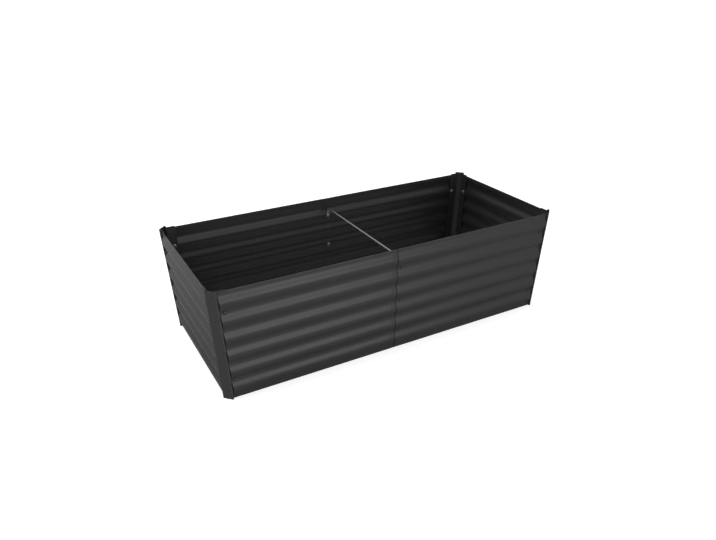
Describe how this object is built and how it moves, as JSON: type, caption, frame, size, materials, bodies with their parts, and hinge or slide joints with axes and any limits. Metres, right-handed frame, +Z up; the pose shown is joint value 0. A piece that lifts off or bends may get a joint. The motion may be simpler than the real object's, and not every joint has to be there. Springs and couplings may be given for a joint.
{
  "type": "raised garden bed",
  "caption": "Open-bottomed rectangular raised garden bed of corrugated steel panels bolted to bevelled corner posts, with a cross brace.",
  "frame": {"origin": "on the ground, at the centre of the bed's outline", "axes": "+X along the bed, towards its right end; +Y from the front wall to the back wall; +Z up"},
  "size_m": [1.4, 0.6, 0.41],
  "materials": {
    "panel_paint": "semi-gloss charcoal polyester coating on galvanised sheet",
    "post_paint": "satin charcoal powder coat",
    "black_zinc": "black zinc plated steel, satin",
    "bright_zinc": "bright zinc plated steel",
    "galvanised": "galvanised steel rod, dull spangle"
  },
  "bodies": {
    "root": {"corner_post_front_left": "post_paint", "corner_post_front_right": "post_paint", "corner_post_back_left": "post_paint", "corner_post_back_right": "post_paint", "panel_front_left": "panel_paint", "panel_front_right": "panel_paint", "panel_back_left": "panel_paint", "panel_back_right": "panel_paint", "panel_left_end": "panel_paint", "panel_right_end": "panel_paint", "brace_rod": "galvanised", "post_bolt_front_left_long_1": "black_zinc", "post_nut_front_left_long_1": "bright_zinc", "post_bolt_front_left_long_2": "black_zinc", "post_nut_front_left_long_2": "bright_zinc", "post_bolt_front_left_end_1": "black_zinc", "post_nut_front_left_end_1": "bright_zinc", "post_bolt_front_left_end_2": "black_zinc", "post_nut_front_left_end_2": "bright_zinc", "post_bolt_front_right_long_1": "black_zinc", "post_nut_front_right_long_1": "bright_zinc", "post_bolt_front_right_long_2": "black_zinc", "post_nut_front_right_long_2": "bright_zinc", "post_bolt_front_right_end_1": "black_zinc", "post_nut_front_right_end_1": "bright_zinc", "post_bolt_front_right_end_2": "black_zinc", "post_nut_front_right_end_2": "bright_zinc", "post_bolt_back_left_long_1": "black_zinc", "post_nut_back_left_long_1": "bright_zinc", "post_bolt_back_left_long_2": "black_zinc", "post_nut_back_left_long_2": "bright_zinc", "post_bolt_back_left_end_1": "black_zinc", "post_nut_back_left_end_1": "bright_zinc", "post_bolt_back_left_end_2": "black_zinc", "post_nut_back_left_end_2": "bright_zinc", "post_bolt_back_right_long_1": "black_zinc", "post_nut_back_right_long_1": "bright_zinc", "post_bolt_back_right_long_2": "black_zinc", "post_nut_back_right_long_2": "bright_zinc", "post_bolt_back_right_end_1": "black_zinc", "post_nut_back_right_end_1": "bright_zinc", "post_bolt_back_right_end_2": "black_zinc", "post_nut_back_right_end_2": "bright_zinc", "seam_bolt_front_1": "black_zinc", "seam_nut_front_1": "bright_zinc", "seam_bolt_front_2": "black_zinc", "seam_nut_front_2": "bright_zinc", "seam_bolt_front_3": "black_zinc", "seam_nut_front_3": "bright_zinc", "seam_bolt_back_1": "black_zinc", "seam_nut_back_1": "bright_zinc", "seam_bolt_back_2": "black_zinc", "seam_nut_back_2": "bright_zinc", "seam_bolt_back_3": "black_zinc", "seam_nut_back_3": "bright_zinc"}
  },
  "joints": []
}
